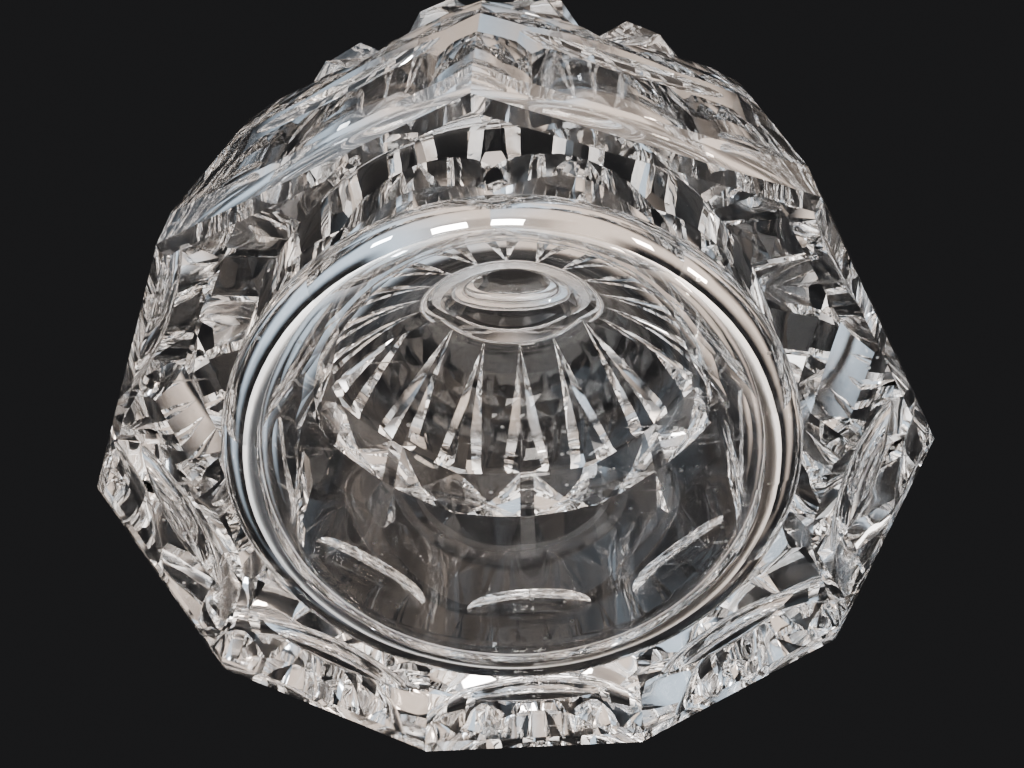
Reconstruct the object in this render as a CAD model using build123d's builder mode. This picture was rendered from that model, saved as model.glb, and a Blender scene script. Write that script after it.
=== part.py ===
from build123d import *
import math
import os

# Cut crystal decanter with a ground glass stopper.
# Millimetres, +Z up, origin on the axis at the underside of the foot.
# One corner of the nine-sided foot points along -Y.

# Body: nine flat panels that lean slightly outwards
SIDES = 9
FIRST_CORNER = -90.0
foot_radius = 53.0
foot_bevel = 1.2
foot_band_height = 8.0
foot_band_flare = 1.6
crown_radius = 59.5

# Diamond row: two diamonds to a panel, between two level mitres
lower_mitre_height = 57.0
upper_mitre_height = 73.0
diamond_depth = 4.6
column_floor_width = 3.4
lower_run_out = 12.0
upper_run_out = 6.0

# Shoulder: a cone with long mitres that come to a point at the neck
shoulder_edge_rise = 2.0
shoulder_mitre_width = 16.2
shoulder_mitre_depth = 6.3
neck_foot_height = 100.0
neck_foot_rounding = 5.0

# Neck and lip: the glass round the throat and the socket
mouth_height = 148.0
neck_foot_wall = 8.4
neck_waist_wall = 6.0
neck_waist_drop = 28.0
neck_waist_rounding = 14.0
lip_wall = 11.5
lip_thickness = 6.0
lip_rounding = 2.6

# One olive cut on each panel
olive_height = 30.8
olive_length = 28.0
olive_width = 10.0
olive_depth = 2.2

# Cavity: a rounded heel, a straight wall and a dome with a sharp rim at the throat
floor_thickness = 7.5
heel_wall = 11.7
heel_rounding = 11.5
dome_foot_wall = 11.9
dome_foot_height = 52.0
throat_rim_radius = 19.6
throat_rim_height = 96.0
throat_flare = 2.5
throat_run = 6.0
throat_rounding = 3.0

# Ground socket and stopper
SOCKET_TAPER = 0.05
socket_radius = 17.5
socket_length = 30.0
ground_clearance = 0.05
plug_setback = 3.0
plug_bevel = 0.8
stopper_gap = 1.0
stopper_neck_inset = 3.0
stopper_neck_height = 5.0
stopper_neck_slope = 1.5
knob_sink = 1.0
knob_overhang = 8.5
knob_height = 37.0
knob_table_inset = 5.5
knob_cut = 2.6
knob_crown_cut = 5.6
knob_levels = (0.0, 0.30, 0.56, 0.82, 1.0)

# Cutters stand clear of the glass and run out past its surface
OUTSIDE = 4.0
OVERCUT = 1.5
TIP_HALF_WIDTH = 0.1
HALF_PANEL = 180 / SIDES
NEVER_REACHED = 2 * crown_radius

# Sizes that follow from the ones above
shoulder_edge_height = upper_mitre_height + shoulder_edge_rise
neck_foot_radius = throat_rim_radius + neck_foot_wall
neck_waist_radius = socket_radius + neck_waist_wall
neck_waist_height = mouth_height - neck_waist_drop
lip_radius = socket_radius + lip_wall
socket_foot = mouth_height - socket_length
stopper_neck_radius = socket_radius - stopper_neck_inset
knob_radius = socket_radius + knob_overhang
knob_table_radius = socket_radius - knob_table_inset


def corner(height):
    """Distance from the axis to a corner of the nine-sided body at a height."""
    band_radius = foot_radius + foot_band_flare
    if height < foot_band_height:
        return foot_radius + foot_band_flare * height / foot_band_height
    slope = (crown_radius - band_radius) / (upper_mitre_height - foot_band_height)
    return band_radius + slope * (height - foot_band_height)


def apothem(height):
    """Distance from the axis to the middle of a panel at a height."""
    return corner(height) * math.cos(math.radians(HALF_PANEL))


def column_section(floor_radius, quarter, height, lift):
    """One level of a column mitre, pushed outwards by lift."""
    run = OVERCUT * (quarter[0] - floor_radius)
    half_floor = column_floor_width / 2
    side = half_floor + OVERCUT * (quarter[1] - half_floor)
    outer = floor_radius + max(run, diamond_depth) + OUTSIDE
    half = [(floor_radius, half_floor), (floor_radius + run, side), (outer, side)]
    return [(x + lift, sign * y, height) for x, y in half for sign in (-1, 1)]


def column_mitre(on_corner):
    """Corner points of an upright mitre beside the diamonds, cut towards +X."""
    depth = diamond_depth
    if on_corner:
        depth = diamond_depth / math.cos(math.radians(HALF_PANEL))
    levels = (
        (lower_mitre_height - lower_run_out, depth),
        (lower_mitre_height, 0),
        (upper_mitre_height, 0),
        (upper_mitre_height + upper_run_out, depth),
    )
    points = []
    for height, lift in levels:
        quarter_panel = corner(height) * math.sin(math.radians(HALF_PANEL)) / 2
        quarter = (apothem(height), quarter_panel)
        surface = apothem(height)
        if on_corner:
            turn = math.radians(HALF_PANEL)
            quarter = (
                corner(height) - quarter_panel * math.sin(turn),
                quarter_panel * math.cos(turn),
            )
            surface = corner(height)
        points += column_section(surface - depth, quarter, height, lift)
    return points


def shoulder_radius(height):
    """Radius of the shoulder cone at a height."""
    fall = (height - shoulder_edge_height) / (neck_foot_height - shoulder_edge_height)
    return crown_radius + fall * (neck_foot_radius - crown_radius)


def shoulder_mitre():
    """Corner points of a mitre that narrows to a point at the neck, cut towards +X."""
    rise = neck_foot_height - shoulder_edge_height
    slope = math.atan2(rise, crown_radius - neck_foot_radius)
    level_depth = shoulder_mitre_depth / math.sin(slope)
    half_floor = column_floor_width / 2
    side = OVERCUT * (shoulder_mitre_width / 2 - half_floor)
    run = OVERCUT * level_depth
    ends = (
        (upper_mitre_height, level_depth, half_floor),
        (neck_foot_height, 0, TIP_HALF_WIDTH),
    )
    points = []
    for height, depth, half in ends:
        floor_radius = shoulder_radius(height) - depth
        for sign in (-1, 1):
            points.append((floor_radius, sign * half, height))
            points.append((floor_radius + run, sign * (half + side), height))
            points.append((floor_radius + run + OUTSIDE, sign * (half + side), height))
    return points


def ring_mitre(height):
    """A level mitre all the way round the nine-sided body."""
    half_height = (upper_mitre_height - lower_mitre_height) / 2
    depth = diamond_depth / math.cos(math.radians(HALF_PANEL))
    levels = (
        (height - half_height, corner(height - half_height)),
        (height, corner(height) - depth),
        (height + half_height, corner(height + half_height)),
    )
    with BuildPart() as ring:
        with BuildSketch(Plane.XY.offset(height - half_height)):
            Circle(NEVER_REACHED)
        extrude(amount=2 * half_height)
        for level, radius in levels:
            with BuildSketch(Plane.XY.offset(level)):
                RegularPolygon(radius, SIDES, rotation=FIRST_CORNER)
        loft(ruled=True, mode=Mode.SUBTRACT)
    return ring.part


def nine_sided_body():
    """The flat-sided body before cutting, carried up past the mouth."""
    top = mouth_height + OUTSIDE
    levels = (
        (0, foot_radius - foot_bevel),
        (foot_bevel, corner(foot_bevel)),
        (foot_band_height, corner(foot_band_height)),
        (top, corner(top)),
    )
    with BuildPart() as body:
        for level, radius in levels:
            with BuildSketch(Plane.XY.offset(level)):
                RegularPolygon(radius, SIDES, rotation=FIRST_CORNER)
        loft(ruled=True)
    return body.part


def arc_radius(chord, depth):
    """Radius of the arc that has this chord and depth."""
    return ((chord / 2) ** 2 + depth**2) / (2 * depth)


def socket_radius_at(height):
    """Radius of the ground socket at a height."""
    return socket_radius - SOCKET_TAPER * (mouth_height - height)


shoulder_run = (neck_foot_height - shoulder_edge_height) / (crown_radius - neck_foot_radius)
shoulder_start = shoulder_edge_height - shoulder_run * (NEVER_REACHED - crown_radius)

# Decanter body: round blank, cut flat, then cut with mitres and olives, and hollow
with BuildPart() as decanter_body:
    with BuildSketch(Plane.XZ):
        with BuildLine():
            blank = FilletPolyline(
                (0, mouth_height),
                (lip_radius, mouth_height),
                (lip_radius, mouth_height - lip_thickness),
                (neck_waist_radius, neck_waist_height),
                (neck_foot_radius, neck_foot_height),
                (NEVER_REACHED, shoulder_start),
                radius=(lip_rounding, lip_rounding, neck_waist_rounding, neck_foot_rounding),
            )
            Polyline(blank @ 1, (NEVER_REACHED, 0), (0, 0), blank @ 0)
        make_face()
    revolve(axis=Axis.Z)
    add(nine_sided_body(), mode=Mode.INTERSECT)
    add(ring_mitre(lower_mitre_height), mode=Mode.SUBTRACT)
    add(ring_mitre(upper_mitre_height), mode=Mode.SUBTRACT)
    with PolarLocations(0, SIDES, start_angle=FIRST_CORNER):
        ConvexPolyhedron(column_mitre(True), mode=Mode.SUBTRACT)
    with PolarLocations(0, SIDES, start_angle=FIRST_CORNER + HALF_PANEL):
        ConvexPolyhedron(column_mitre(False), mode=Mode.SUBTRACT)
    with PolarLocations(0, 2 * SIDES, start_angle=FIRST_CORNER):
        ConvexPolyhedron(shoulder_mitre(), mode=Mode.SUBTRACT)
    wheel = arc_radius(olive_length, olive_depth)
    edge = arc_radius(olive_width, olive_depth)
    with Locations((0, 0, olive_height)):
        with PolarLocations(
            apothem(olive_height) - olive_depth + wheel,
            SIDES,
            start_angle=FIRST_CORNER + HALF_PANEL,
        ):
            Torus(wheel - edge, edge, mode=Mode.SUBTRACT)
    with BuildSketch(Plane.XZ):
        with BuildLine():
            wall = FilletPolyline(
                (0, floor_thickness),
                (apothem(floor_thickness) - heel_wall, floor_thickness),
                (apothem(dome_foot_height) - dome_foot_wall, dome_foot_height),
                radius=heel_rounding,
            )
            dome = TangentArc(wall @ 1, (throat_rim_radius, throat_rim_height), tangent=wall % 1)
            throat = FilletPolyline(
                dome @ 1,
                (socket_radius_at(socket_foot) + throat_flare, socket_foot - throat_run),
                (socket_radius_at(socket_foot), socket_foot),
                (socket_radius, mouth_height),
                radius=throat_rounding,
            )
            Polyline(throat @ 1, (0, mouth_height), wall @ 0)
        make_face()
    revolve(axis=Axis.Z, mode=Mode.SUBTRACT)
decanter_body.part.label = "decanter_body"


def knob_points():
    """Corners of the cut knob: five rings of nine, each turned half a facet."""
    base = mouth_height + stopper_gap + stopper_neck_height
    radii = (
        stopper_neck_radius + knob_cut,
        knob_radius - knob_cut,
        knob_radius,
        knob_radius - knob_crown_cut,
        knob_table_radius,
    )
    points = []
    for row, (share, radius) in enumerate(zip(knob_levels, radii)):
        for side in range(SIDES):
            angle = math.radians(FIRST_CORNER + 2 * HALF_PANEL * side + HALF_PANEL * row)
            height = base + share * knob_height
            points.append((radius * math.cos(angle), radius * math.sin(angle), height))
    return points


# Stopper: ground plug, short neck and cut knob
with BuildPart() as stopper:
    plug_foot = socket_foot + plug_setback
    bevel_top = plug_foot + plug_bevel
    neck_top = mouth_height + stopper_gap + stopper_neck_height + knob_sink
    with BuildSketch(Plane.XZ):
        with BuildLine():
            Polyline(
                (0, plug_foot),
                (socket_radius_at(plug_foot) - ground_clearance - plug_bevel, plug_foot),
                (socket_radius_at(bevel_top) - ground_clearance, bevel_top),
                (socket_radius - ground_clearance, mouth_height),
                (stopper_neck_radius, mouth_height + stopper_gap + stopper_neck_slope),
                (stopper_neck_radius, neck_top),
                (0, neck_top),
                close=True,
            )
        make_face()
    revolve(axis=Axis.Z)
    ConvexPolyhedron(knob_points())
stopper.part.label = "stopper"

os.makedirs("parts", exist_ok=True)
export_step(decanter_body.part, "parts/decanter_body.step")
export_step(stopper.part, "parts/stopper.step")
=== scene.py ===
import math

import bpy
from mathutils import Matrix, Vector


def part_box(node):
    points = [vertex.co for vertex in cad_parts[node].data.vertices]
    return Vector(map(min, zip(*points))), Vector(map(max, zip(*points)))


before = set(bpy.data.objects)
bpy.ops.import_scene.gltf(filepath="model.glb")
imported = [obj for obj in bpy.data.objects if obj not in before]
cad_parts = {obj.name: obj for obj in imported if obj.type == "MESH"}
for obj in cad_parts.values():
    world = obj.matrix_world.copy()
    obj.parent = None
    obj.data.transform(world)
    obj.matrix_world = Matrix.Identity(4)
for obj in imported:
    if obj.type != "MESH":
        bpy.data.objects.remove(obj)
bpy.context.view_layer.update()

bl_info = {
    "name": "Cut Crystal Decanter",
    "version": (1, 0, 0),
    "blender": (4, 5, 0),
    "location": "3D View > Sidebar > Decanter",
    "description": "Finishes the glass of a cut crystal decanter and sets a plain studio round it",
    "category": "Object",
}

MILLIMETRE = 0.001
mouth_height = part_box("decanter_body")[1].z
plug_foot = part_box("stopper")[0].z

# The ground zone: how far the socket's runs on below the plug, how far the plug's stays clear of
# its bevelled foot, how far both stay clear of the mouth, and half the width of the zone's edge
SOCKET_RUN = 3 * MILLIMETRE
PLUG_BEVEL = 1.2 * MILLIMETRE
MOUTH_RIM = 1 * MILLIMETRE
GROUND_EDGE = 0.3 * MILLIMETRE

# Patterns in the finish, in repeats to the metre
GRAIN_SCALE = 2600.0
SMUDGE_SCALE = 55.0
SPECK_SCALE = 420.0
SCRATCH_SCALE = (60, 1100, 60)
SCRATCH_TURN = 0.6

# Where each pattern starts to show and where it is at full strength, in the pattern's own value
SMUDGE_EDGE = (0.45, 0.75)
SPECK_EDGE = (0.16, 0.08)
SPECK_PATCHES = (0.48, 0.56)
SCRATCH_EDGE = (0.70, 0.76)

# Roughness that each pattern adds at its strongest, and the scratches' share of the wear
SMUDGE_HAZE = 0.02
WEAR_HAZE = 0.35
GRAIN_HAZE = 0.1
SCRATCH_SHARE = 0.5

# Wear is on the flat underside of the foot: none at the first height, and all of it at the second
WEAR_HEIGHTS = (0.6 * MILLIMETRE, 0.2 * MILLIMETRE)

FLOOR_ROUGHNESS = 0.8

# The sockets of a colour Mix node
MIX_FACTOR, MIX_FIRST, MIX_SECOND, MIX_RESULT = 0, 6, 7, 2

# Soft light in the air, by direction. Each pair is where a zone starts and where it is at full
# strength, as the part of a unit direction that lies along the zone's axis.
DARK_AIR = (0.02, 0.02, 0.021)
BACKDROP_MIDDLE = (-0.04, 0.53, 0.85)
CLEAR_OF_BACKDROP = (0.72, 0.46)
FRONT = (0.10, -0.30)
FRONT_FLANKS = (0.08, 0.40)
FRONT_MIDDLE_LOSS = 0.45
OVERHEAD = (0.25, 0.55)
NOT_BEHIND = (0.45, 0.15)
FLANKS = (0.45, 0.80)
FLANK_STRENGTH = 0.7
LOW_FLANKS = (0.50, 0.75)
LOW = (0.45, 0.15)
GAP_PLACE = -0.15
GAP = (0.22, 0.10)
GAP_HEIGHT = (0.60, 0.80)
GAP_LOSS = 0.65
COOL_SIDE = (0.2, -0.6)

# Area lights: name, place, width, power and colour
LIGHTS = (
    ("key_light", (-0.45, -0.60, 0.50), 0.12, 12, (0.90, 0.95, 1.0)),
    ("warm_light", (0.55, -0.45, 0.38), 0.12, 9, (1.0, 0.84, 0.72)),
    ("low_light", (-0.10, -0.80, 0.22), 0.20, 6, (1.0, 0.95, 0.90)),
)
LIGHTS_AIM = (0, 0, 0.06)

# Light meets many facets before it leaves cut glass
GLASS_BOUNCES = 24
GLOSS_BOUNCES = 12


class Shade:
    """A socket of a shader tree. Arithmetic on it adds Math nodes, and | takes the larger value."""

    def __init__(self, tree, socket=None):
        self.tree = tree
        self.socket = socket

    def node(self, kind, settings=None, inputs=None, output=0):
        """Adds a node from its type, its settings and its sockets' values or links."""
        made = self.tree.nodes.new(kind)
        for name, value in (settings or {}).items():
            setattr(made, name, value)
        for name, value in (inputs or {}).items():
            if isinstance(value, Shade):
                self.tree.links.new(value.socket, made.inputs[name])
            else:
                made.inputs[name].default_value = value
        return Shade(self.tree, made.outputs[output])

    def maths(self, operation, *values):
        """A Math node on the values, in their order."""
        return self.node("ShaderNodeMath", {"operation": operation}, dict(enumerate(values)))

    def __add__(self, other):
        return self.maths("ADD", self, other)

    def __sub__(self, other):
        return self.maths("SUBTRACT", self, other)

    def __rsub__(self, other):
        return self.maths("SUBTRACT", other, self)

    def __mul__(self, other):
        return self.maths("MULTIPLY", self, other)

    def __lt__(self, other):
        return self.maths("LESS_THAN", self, other)

    def __or__(self, other):
        return self.maths("MAXIMUM", self, other)

    def __abs__(self):
        return self.maths("ABSOLUTE", self)

    __radd__ = __add__
    __rmul__ = __mul__
    __ror__ = __or__


def fade(value, start, full):
    """0 at start and 1 at full, with a soft beginning and end."""
    return value.node(
        "ShaderNodeMapRange",
        {"interpolation_type": "SMOOTHSTEP"},
        {"Value": value, "From Min": start, "From Max": full},
    )


def blended(factor, first, second):
    """A colour that goes from first to second as the factor goes from 0 to 1."""
    return factor.node(
        "ShaderNodeMix",
        {"data_type": "RGBA"},
        {MIX_FACTOR: factor, MIX_FIRST: first, MIX_SECOND: second},
        output=MIX_RESULT,
    )


def length_of(vector):
    """How long a vector is."""
    return vector.node(
        "ShaderNodeVectorMath", {"operation": "LENGTH"}, {0: vector}, output="Value"
    )


def parts_of(vector):
    """The X, Y and Z of a vector."""
    split = vector.node("ShaderNodeSeparateXYZ", inputs={0: vector}).socket.node
    return [Shade(vector.tree, socket) for socket in split.outputs]


def noise(place, scale, detail):
    """Soft noise with some octaves of detail."""
    return place.node(
        "ShaderNodeTexNoise", inputs={"Vector": place, "Scale": scale, "Detail": detail}
    )


def new_material(name):
    """An empty node material, a start for its expressions, and its output."""
    material = bpy.data.materials.new(name)
    material.use_nodes = True
    tree = material.node_tree
    tree.nodes.clear()
    return material, Shade(tree), tree.nodes.new("ShaderNodeOutputMaterial")


class DecanterCrystal(bpy.types.PropertyGroup):
    """Finish of the glass."""

    tint: bpy.props.FloatVectorProperty(
        name="Tint",
        description="Colour that light picks up at each surface of the glass",
        subtype="COLOR",
        size=3,
        min=0,
        max=1,
        default=(0.995, 0.992, 0.99),
    )
    refraction: bpy.props.FloatProperty(
        name="Refractive Index",
        description="How strongly lead crystal bends light",
        default=1.55,
        min=1.3,
        max=2.0,
    )
    polish: bpy.props.FloatProperty(
        name="Polish Haze",
        description="Roughness that acid polishing leaves on the cuts",
        default=0.012,
        min=0,
        max=1,
    )
    ground: bpy.props.FloatProperty(
        name="Ground Roughness",
        description="Roughness of the plug and the socket, which are ground to fit",
        default=0.42,
        min=0,
        max=1,
    )
    ground_radius: bpy.props.FloatProperty(
        name="Ground Radius",
        description="Radius round the ground faces, inside that of the neck and the lip",
        subtype="DISTANCE",
        default=0.0185,
    )
    ripple_size: bpy.props.FloatProperty(
        name="Ripple Size",
        description="Width of the faint ripples in the polished faces",
        subtype="DISTANCE",
        default=0.011,
    )
    ripple_depth: bpy.props.FloatProperty(
        name="Ripple Depth",
        description="Depth of the faint ripples in the polished faces",
        subtype="DISTANCE",
        default=0.00006,
    )


class DecanterStage(bpy.types.PropertyGroup):
    """Floor, lights and camera."""

    floor_size: bpy.props.FloatProperty(
        name="Floor Size",
        description="Width of the pale floor",
        subtype="DISTANCE",
        default=3.0,
    )
    floor_gap: bpy.props.FloatProperty(
        name="Floor Gap",
        description="How far below the foot the floor lies",
        subtype="DISTANCE",
        default=0.0004,
    )
    floor_colour: bpy.props.FloatVectorProperty(
        name="Floor Colour",
        description="Colour of the floor away from the decanter",
        subtype="COLOR",
        size=3,
        default=(0.80, 0.79, 0.77),
    )
    # Painted contact shadow: the floor close to the foot is painted this dark colour
    painted_foot_shadow: bpy.props.FloatVectorProperty(
        name="Foot Shade",
        description="Colour of the floor close to the foot",
        subtype="COLOR",
        size=3,
        default=(0.05, 0.05, 0.05),
    )
    clear_radius: bpy.props.FloatProperty(
        name="Clear Radius",
        description="Radius under the foot where the floor lets light through",
        subtype="DISTANCE",
        default=0.048,
    )
    # Where the painted shadow round the foot starts to fade into the pale floor
    painted_shadow_radius: bpy.props.FloatProperty(
        name="Shade Radius",
        description="Radius at which the dark floor close to the foot starts to turn pale",
        subtype="DISTANCE",
        default=0.058,
    )
    pale_radius: bpy.props.FloatProperty(
        name="Pale Radius",
        description="Radius past which the floor is pale all over",
        subtype="DISTANCE",
        default=0.115,
    )
    warm: bpy.props.FloatVectorProperty(
        name="Warm Side",
        description="Colour of the soft light on the right",
        subtype="COLOR",
        size=3,
        default=(1.0, 0.84, 0.72),
    )
    cool: bpy.props.FloatVectorProperty(
        name="Cool Side",
        description="Colour of the soft light on the left",
        subtype="COLOR",
        size=3,
        default=(0.74, 0.87, 1.0),
    )
    camera_turn: bpy.props.FloatProperty(
        name="Camera Turn",
        description="How far round from the front the camera stands",
        subtype="ANGLE",
        default=math.radians(4.2),
    )
    camera_out: bpy.props.FloatProperty(
        name="Camera Distance from Axis",
        description="How far from the decanter's axis the camera stands",
        subtype="DISTANCE",
        default=0.067,
    )
    camera_below: bpy.props.FloatProperty(
        name="Camera Depth",
        description="How far below the foot the camera looks up from",
        subtype="DISTANCE",
        default=0.0729,
    )
    aim_height: bpy.props.FloatProperty(
        name="Aim Height",
        description="Height on the axis that the camera looks at",
        subtype="DISTANCE",
        default=0.0348,
    )
    lens: bpy.props.FloatProperty(
        name="Lens",
        description="Focal length of the camera",
        default=26.3,
        min=10,
        max=200,
    )
    near_limit: bpy.props.FloatProperty(
        name="Near Limit",
        description="How near to the camera things are still drawn",
        subtype="DISTANCE",
        default=0.005,
    )
    exposure: bpy.props.FloatProperty(
        name="Exposure",
        description="Brightness of the picture, in stops",
        default=0.05,
    )


def foot_wear(place, height, smudge):
    """Specks and fine scratches on the underside of the foot, from 0 to 1."""
    spots = place.node("ShaderNodeTexVoronoi", inputs={"Vector": place, "Scale": SPECK_SCALE})
    specks = fade(spots, *SPECK_EDGE) * fade(smudge, *SPECK_PATCHES)
    stretched = place.node(
        "ShaderNodeMapping",
        inputs={"Vector": place, "Rotation": (0, 0, SCRATCH_TURN), "Scale": SCRATCH_SCALE},
    )
    scratches = fade(noise(stretched, 1.0, 1.0), *SCRATCH_EDGE)
    return fade(height, *WEAR_HEIGHTS) * (specks + scratches * SCRATCH_SHARE)


def crystal(name, ground_low, ground_high):
    """Clear lead crystal that is ground matt near the axis between two heights."""
    look = bpy.context.scene.decanter_crystal
    material, shade, output = new_material(name)
    place = shade.node("ShaderNodeTexCoord", output="Object")
    flat = shade.node("ShaderNodeVectorMath", {"operation": "MULTIPLY"}, {0: place, 1: (1, 1, 0)})
    radius = length_of(flat)
    height = parts_of(place)[2]

    inside = fade(radius, look.ground_radius + GROUND_EDGE, look.ground_radius - GROUND_EDGE)
    above = fade(height, ground_low - GROUND_EDGE, ground_low + GROUND_EDGE)
    below = fade(height, ground_high + GROUND_EDGE, ground_high - GROUND_EDGE)
    ground = inside * above * below * (noise(place, GRAIN_SCALE, 0.0) * GRAIN_HAZE + look.ground)

    smudge = noise(place, SMUDGE_SCALE, 2.0)
    polish = fade(smudge, *SMUDGE_EDGE) * SMUDGE_HAZE + look.polish
    wear = foot_wear(place, height, smudge) * WEAR_HAZE
    ripple = noise(place, 1 / look.ripple_size, 0.0)
    relief = shade.node(
        "ShaderNodeBump", inputs={"Height": ripple, "Strength": 1.0, "Distance": look.ripple_depth}
    )
    glass = shade.node(
        "ShaderNodeBsdfPrincipled",
        inputs={
            "Base Color": (*look.tint, 1),
            "Roughness": polish + wear + ground,
            "IOR": look.refraction,
            "Transmission Weight": 1.0,
            "Normal": relief,
        },
    )
    shade.tree.links.new(glass.socket, output.inputs["Surface"])
    return material


class DECANTER_OT_body(bpy.types.Operator):
    """Finish the cut body of the decanter and its ground socket"""

    bl_idname = "decanter.body"
    bl_label = "Finish Body"

    def execute(self, context):
        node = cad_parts["decanter_body"]
        node.material_slots[0].material = crystal(
            "cut_crystal_glass", plug_foot - SOCKET_RUN, mouth_height - MOUTH_RIM
        )
        return {"FINISHED"}


class DECANTER_OT_stopper(bpy.types.Operator):
    """Finish the stopper and its ground plug"""

    bl_idname = "decanter.stopper"
    bl_label = "Finish Stopper"

    def execute(self, context):
        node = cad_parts["stopper"]
        node.material_slots[0].material = crystal(
            "stopper_crystal_glass", plug_foot + PLUG_BEVEL, mouth_height - MOUTH_RIM
        )
        return {"FINISHED"}


def floor_material(stage):
    """Pale matt floor that is clear from below and under the foot, and painted dark close to the
    foot as a painted contact shadow.
    """
    material, shade, output = new_material("pale_floor")
    clear = shade.node("ShaderNodeBsdfTransparent")
    from_below = shade.node("ShaderNodeNewGeometry", output="Backfacing")
    radius = length_of(shade.node("ShaderNodeTexCoord", output="Object"))
    pale = fade(radius, stage.painted_shadow_radius, stage.pale_radius)
    # Painted shadow: the floor's colour is dark near the foot and fades to the pale floor colour
    # farther out
    colour = blended(pale, (*stage.painted_foot_shadow, 1), (*stage.floor_colour, 1))
    paint = shade.node(
        "ShaderNodeBsdfPrincipled", inputs={"Base Color": colour, "Roughness": FLOOR_ROUGHNESS}
    )
    open_floor = from_below | (radius < stage.clear_radius)
    mixed = shade.node("ShaderNodeMixShader", inputs={0: open_floor, 1: paint, 2: clear})
    shade.tree.links.new(mixed.socket, output.inputs["Surface"])
    return material


def add_floor(stage):
    """The pale floor just under the foot."""
    bpy.ops.mesh.primitive_plane_add(size=stage.floor_size, location=(0, 0, -stage.floor_gap))
    floor = bpy.context.object
    floor.name = "studio_floor"
    floor.data.materials.append(floor_material(stage))


def lit_air(direction):
    """How much soft light comes from a direction, from 0 to 1."""
    across, along, up = parts_of(direction)
    aside = abs(across)
    ahead = direction.node(
        "ShaderNodeVectorMath",
        {"operation": "DOT_PRODUCT"},
        {0: direction, 1: BACKDROP_MIDDLE},
        output="Value",
    )
    middle = 1 - fade(aside, *FRONT_FLANKS)
    front = fade(along, *FRONT) * (1 - middle * FRONT_MIDDLE_LOSS)
    overhead = fade(up, *OVERHEAD) * fade(along, *NOT_BEHIND)
    flanks = fade(aside, *FLANKS) * FLANK_STRENGTH
    low_flanks = fade(aside, *LOW_FLANKS) * fade(up, *LOW)
    gap = fade(up, *GAP_HEIGHT) * fade(abs(along - GAP_PLACE), *GAP)
    lit = fade(ahead, *CLEAR_OF_BACKDROP) * (front | overhead | flanks)
    return lit * (1 - low_flanks) * (1 - gap * GAP_LOSS)


def studio_air(stage):
    """Soft studio air: dark behind, low at the sides and in a gap overhead, and lit elsewhere."""
    world = bpy.data.worlds.new("studio_air")
    world.use_nodes = True
    bpy.context.scene.world = world
    tree = world.node_tree
    tree.nodes.clear()
    direction = Shade(tree).node("ShaderNodeTexCoord", output="Generated")
    across = parts_of(direction)[0]
    tone = blended(fade(across, *COOL_SIDE), (*stage.warm, 1), (*stage.cool, 1))
    colour = blended(lit_air(direction), (*DARK_AIR, 1), tone)
    light = direction.node("ShaderNodeBackground", inputs={"Color": colour, "Strength": 1.0})
    output = tree.nodes.new("ShaderNodeOutputWorld")
    tree.links.new(light.socket, output.inputs["Surface"])


def turned_to(place, aim):
    """The turn that points a light or a camera at place towards aim."""
    return (Vector(aim) - Vector(place)).to_track_quat("-Z", "Y").to_euler()


def add_light(name, place, width, power, colour):
    """A square area light that isn't itself in view."""
    bpy.ops.object.light_add(type="AREA", location=place)
    light = bpy.context.object
    light.name = name
    light.rotation_euler = turned_to(place, LIGHTS_AIM)
    light.data.size = width
    light.data.energy = power
    light.data.color = colour
    light.visible_camera = False


def add_camera(stage):
    """The camera, which looks up at the foot from below the floor."""
    place = (
        stage.camera_out * math.sin(stage.camera_turn),
        -stage.camera_out * math.cos(stage.camera_turn),
        -stage.camera_below,
    )
    bpy.ops.object.camera_add(
        location=place, rotation=turned_to(place, (0, 0, stage.aim_height))
    )
    camera = bpy.context.object
    camera.name = "studio_camera"
    camera.data.lens = stage.lens
    camera.data.clip_start = stage.near_limit
    bpy.context.scene.camera = camera


class DECANTER_OT_stage(bpy.types.Operator):
    """Set the floor, the soft lights and the camera"""

    bl_idname = "decanter.stage"
    bl_label = "Set Stage"

    def execute(self, context):
        scene = context.scene
        stage = scene.decanter_stage
        bpy.ops.object.select_all(action="DESELECT")
        add_floor(stage)
        studio_air(stage)
        for light in LIGHTS:
            add_light(*light)
        add_camera(stage)
        scene.view_settings.look = "AgX - Medium High Contrast"
        scene.view_settings.exposure = stage.exposure
        scene.cycles.max_bounces = GLASS_BOUNCES
        scene.cycles.transmission_bounces = GLASS_BOUNCES
        scene.cycles.glossy_bounces = GLOSS_BOUNCES
        return {"FINISHED"}


class DECANTER_PT_panel(bpy.types.Panel):
    """The decanter's tools"""

    bl_idname = "DECANTER_PT_panel"
    bl_label = "Decanter"
    bl_space_type = "VIEW_3D"
    bl_region_type = "UI"
    bl_category = "Decanter"

    def draw(self, context):
        column = self.layout.column()
        column.operator("decanter.body")
        column.operator("decanter.stopper")
        column.operator("decanter.stage")


CLASSES = (
    DecanterCrystal,
    DecanterStage,
    DECANTER_OT_body,
    DECANTER_OT_stopper,
    DECANTER_OT_stage,
    DECANTER_PT_panel,
)


def register():
    for item in CLASSES:
        bpy.utils.register_class(item)
    bpy.types.Scene.decanter_crystal = bpy.props.PointerProperty(type=DecanterCrystal)
    bpy.types.Scene.decanter_stage = bpy.props.PointerProperty(type=DecanterStage)


def unregister():
    del bpy.types.Scene.decanter_stage
    del bpy.types.Scene.decanter_crystal
    for item in reversed(CLASSES):
        bpy.utils.unregister_class(item)


def main():
    register()
    bpy.ops.decanter.body()
    bpy.ops.decanter.stopper()
    bpy.ops.decanter.stage()


if __name__ == "__main__":
    main()
